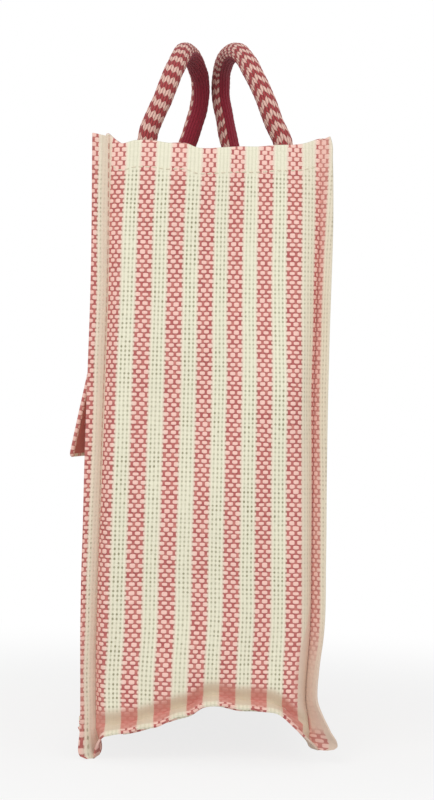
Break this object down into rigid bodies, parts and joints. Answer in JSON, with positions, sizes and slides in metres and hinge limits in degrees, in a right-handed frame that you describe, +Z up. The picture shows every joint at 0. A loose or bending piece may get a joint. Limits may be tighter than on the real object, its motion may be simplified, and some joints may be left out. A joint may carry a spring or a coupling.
{
  "type": "tote bag",
  "caption": "Upright tote bag of striped jute with side gussets, rope loop handles and a front pocket under a hinged flap.",
  "frame": {"origin": "on the ground, at the middle of the bag's outline as seen from above", "axes": "+Z up, +X along the width of the front panel towards the open gusset, the front panel with its pocket faces -Y"},
  "size_m": [0.3324, 0.178, 0.4873],
  "materials": {
    "striped_jute": "coarse plain weave in even cream and dark red stripes",
    "rope_knit": "knitted sleeve with cream and red chevron bands",
    "rope_core": "bundled cotton cord",
    "red_lining": "plain dark red cotton",
    "patch_cotton": "plain undyed cotton"
  },
  "bodies": {
    "bag": {"front_panel": "striped_jute", "back_panel": "striped_jute", "right_gusset": "striped_jute", "left_gusset": "striped_jute", "base_panel": "striped_jute", "pocket_panel": "striped_jute", "front_rope_end_left": "rope_knit", "front_rope_end_right": "rope_knit", "back_rope_end_left": "rope_knit", "back_rope_end_right": "rope_knit", "front_anchor_patch_left": "patch_cotton", "front_anchor_patch_right": "patch_cotton", "back_anchor_patch_left": "patch_cotton", "back_anchor_patch_right": "patch_cotton"},
    "front_handle": {"front_handle_sleeve": "rope_knit", "front_handle_core": "rope_core"},
    "back_handle": {"back_handle_sleeve": "rope_knit", "back_handle_core": "rope_core"},
    "pocket_flap": {"pocket_flap": "striped_jute", "flap_lining": "red_lining"}
  },
  "joints": [
    {"name": "front_handle_swing", "type": "hinge", "parent": "bag", "child": "front_handle", "pos_m": [-0.00243, -0.03074, 0.414], "axis": [0.9702, -0.2421, 0], "range_deg": [0, 105]},
    {"name": "back_handle_swing", "type": "hinge", "parent": "bag", "child": "back_handle", "pos_m": [-0.00243, 0.03656, 0.414], "axis": [-0.9644, -0.2643, 0], "range_deg": [0, 105]},
    {"name": "pocket_flap_lift", "type": "hinge", "parent": "bag", "child": "pocket_flap", "pos_m": [-0.00243, -0.0535, 0.305], "axis": [-0.9903, 0.1393, 0], "range_deg": [0, 120]}
  ]
}
